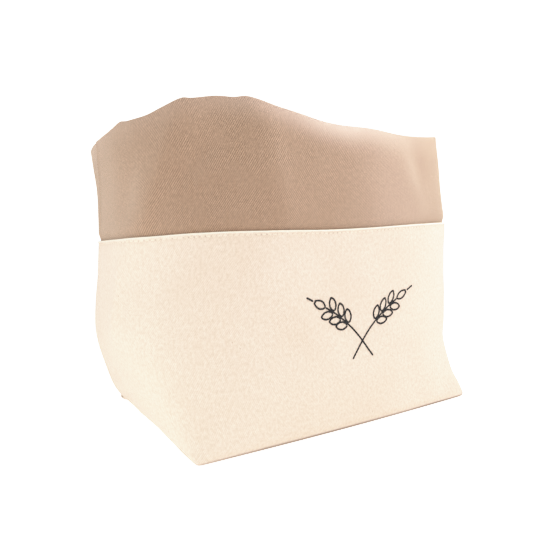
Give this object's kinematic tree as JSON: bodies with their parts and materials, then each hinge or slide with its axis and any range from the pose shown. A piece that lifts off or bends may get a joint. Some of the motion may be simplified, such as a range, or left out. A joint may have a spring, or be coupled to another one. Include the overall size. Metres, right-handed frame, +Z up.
{
  "type": "bread bag",
  "caption": "Open cloth bread bag with a boxed base, an undyed cream twill body and a doubled beige twill band around the top.",
  "frame": {"origin": "middle of the base, on the surface that the bag stands on", "axes": "+Z up towards the open rim, +X along the long front and back faces, -Y out of the front face"},
  "size_m": [0.2556, 0.1858, 0.195],
  "materials": {
    "cream_twill": "undyed cotton twill with brown flecks, matte",
    "tan_twill": "beige cotton twill, matte"
  },
  "bodies": {
    "root": {"cream_front_panel": "cream_twill", "cream_back_panel": "cream_twill", "tan_band_front": "tan_twill", "tan_band_back": "tan_twill"}
  },
  "joints": []
}
